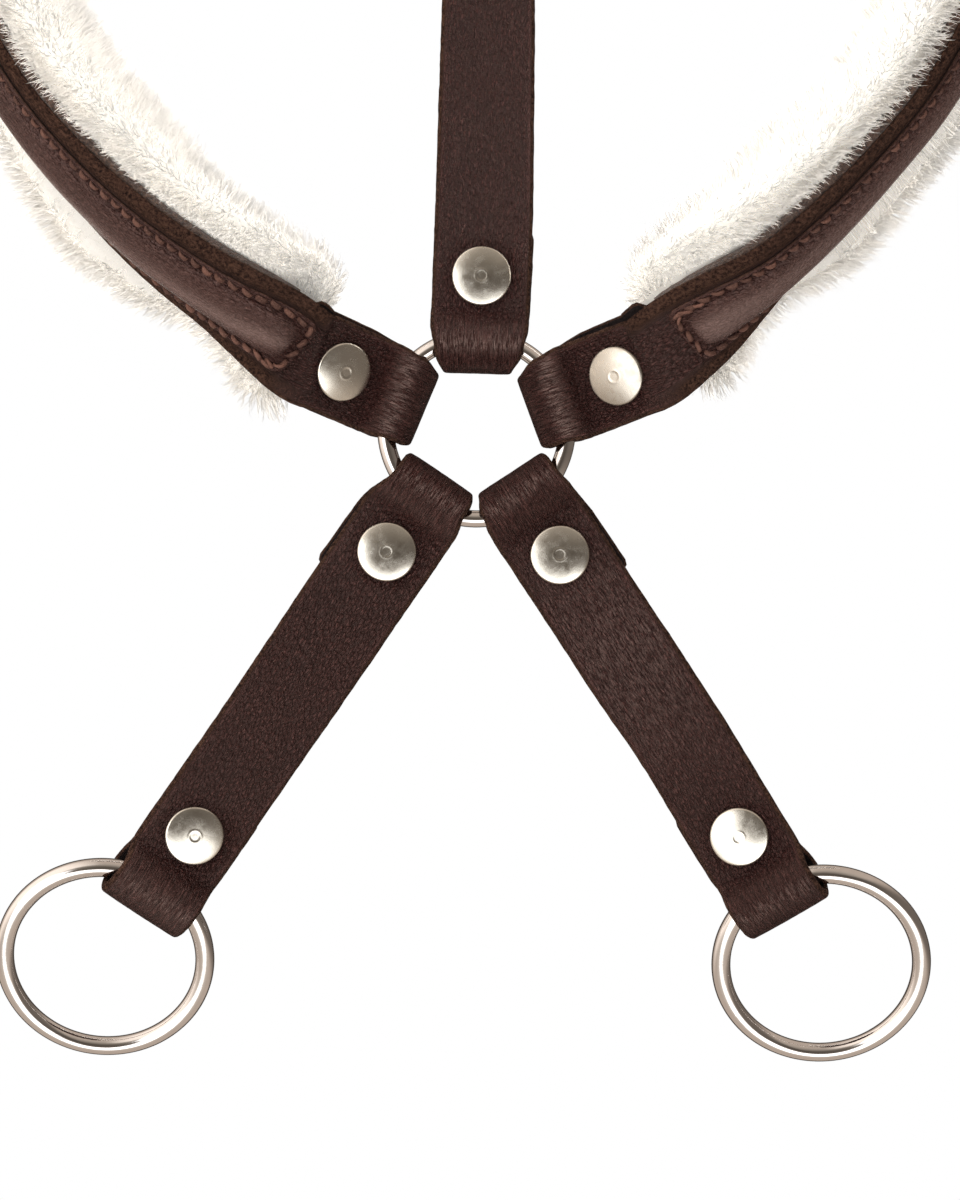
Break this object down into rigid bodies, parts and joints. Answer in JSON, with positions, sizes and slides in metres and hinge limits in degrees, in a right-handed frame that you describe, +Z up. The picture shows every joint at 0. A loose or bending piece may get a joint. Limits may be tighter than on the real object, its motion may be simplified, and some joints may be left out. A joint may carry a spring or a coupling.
{
  "type": "horse breastplate",
  "caption": "Horse breastplate: folded dark leather straps riveted round a central steel ring, fleece-lined neck straps, and a steel ring at each strap end.",
  "frame": {"origin": "centre of the whole breastplate's box at rest", "axes": "+Z up, from the lower straps to the neck straps; -Y out of the grain side; +X to the right seen from the grain side"},
  "size_m": [0.2754, 0.0514, 0.4742],
  "materials": {
    "strap_leather": "grained, semi-matt dark brown",
    "overlay_leather": "smooth, satin dark brown",
    "lining_suede": "raw flesh side, matt brown",
    "fleece": "long soft white pile",
    "padding": "felt cord",
    "thread": "waxed reddish-brown thread",
    "ring_steel": "polished steel",
    "rivet_nickel": "polished nickel with fine scratches"
  },
  "bodies": {
    "centre_ring": {"centre_ring": "ring_steel"},
    "centre": {"centre_strap": "strap_leather", "centre_inner_rivet_cap": "rivet_nickel", "centre_inner_rivet_back": "rivet_nickel", "centre_outer_rivet_cap": "rivet_nickel", "centre_outer_rivet_back": "rivet_nickel"},
    "centre_end_ring": {"centre_end_ring": "ring_steel"},
    "left_neck": {"left_neck_strap": "strap_leather", "left_neck_inner_rivet_cap": "rivet_nickel", "left_neck_inner_rivet_back": "rivet_nickel", "left_neck_outer_rivet_cap": "rivet_nickel", "left_neck_outer_rivet_back": "rivet_nickel", "left_neck_lining": "lining_suede", "left_neck_overlay": "overlay_leather", "left_neck_padding_cord": "padding", "left_neck_stitching": "thread", "left_neck_fleece": "fleece"},
    "left_neck_end_ring": {"left_neck_end_ring": "ring_steel"},
    "right_neck": {"right_neck_strap": "strap_leather", "right_neck_inner_rivet_cap": "rivet_nickel", "right_neck_inner_rivet_back": "rivet_nickel", "right_neck_outer_rivet_cap": "rivet_nickel", "right_neck_outer_rivet_back": "rivet_nickel", "right_neck_lining": "lining_suede", "right_neck_overlay": "overlay_leather", "right_neck_padding_cord": "padding", "right_neck_stitching": "thread", "right_neck_fleece": "fleece"},
    "right_neck_end_ring": {"right_neck_end_ring": "ring_steel"},
    "left_lower": {"left_lower_strap": "strap_leather", "left_lower_inner_rivet_cap": "rivet_nickel", "left_lower_inner_rivet_back": "rivet_nickel", "left_lower_outer_rivet_cap": "rivet_nickel", "left_lower_outer_rivet_back": "rivet_nickel"},
    "left_lower_end_ring": {"left_lower_end_ring": "ring_steel"},
    "right_lower": {"right_lower_strap": "strap_leather", "right_lower_inner_rivet_cap": "rivet_nickel", "right_lower_inner_rivet_back": "rivet_nickel", "right_lower_outer_rivet_cap": "rivet_nickel", "right_lower_outer_rivet_back": "rivet_nickel"},
    "right_lower_end_ring": {"right_lower_end_ring": "ring_steel"}
  },
  "joints": [
    {"name": "centre_swing", "type": "hinge", "parent": "centre_ring", "child": "centre", "pos_m": [0.00052, 0.0092, -0.08629], "axis": [0.9996, 0, -0.0297], "range_deg": [-40, 40]},
    {"name": "centre_ring_swing", "type": "hinge", "parent": "centre", "child": "centre_end_ring", "pos_m": [0.00356, 0.0092, 0.13932], "axis": [1, 0, -0.006], "range_deg": [-55, 55]},
    {"name": "left_neck_swing", "type": "hinge", "parent": "centre_ring", "child": "left_neck", "pos_m": [-0.01617, 0.0092, -0.09708], "axis": [0.3827, 0, 0.9239], "range_deg": [-30, 30]},
    {"name": "left_neck_ring_swing", "type": "hinge", "parent": "left_neck", "child": "left_neck_end_ring", "pos_m": [-0.12477, -0.0028, 0.19436], "axis": [0.0693, -0.9976, -0.0078], "range_deg": [-55, 55]},
    {"name": "right_neck_swing", "type": "hinge", "parent": "centre_ring", "child": "right_neck", "pos_m": [0.01645, 0.0092, -0.0978], "axis": [0.342, 0, -0.9397], "range_deg": [-30, 30]},
    {"name": "right_neck_ring_swing", "type": "hinge", "parent": "right_neck", "child": "right_neck_end_ring", "pos_m": [0.12477, -0.0028, 0.19436], "axis": [0.0693, 0.9976, 0.0078], "range_deg": [-55, 55]},
    {"name": "left_lower_swing", "type": "hinge", "parent": "centre_ring", "child": "left_lower", "pos_m": [-0.01082, 0.0092, -0.11818], "axis": [-0.8234, 0, 0.5675], "range_deg": [-40, 40]},
    {"name": "left_lower_ring_swing", "type": "hinge", "parent": "left_lower", "child": "left_lower_end_ring", "pos_m": [-0.06672, 0.0092, -0.19929], "axis": [-0.8006, -0.2334, 0.5518], "range_deg": [-30, 60]},
    {"name": "right_lower_swing", "type": "hinge", "parent": "centre_ring", "child": "right_lower", "pos_m": [0.00974, 0.0092, -0.11867], "axis": [-0.8365, 0, -0.548], "range_deg": [-40, 40]},
    {"name": "right_lower_ring_swing", "type": "hinge", "parent": "right_lower", "child": "right_lower_end_ring", "pos_m": [0.06203, 0.0092, -0.19997], "axis": [-0.8323, 0.2334, -0.5028], "range_deg": [-30, 60]}
  ]
}
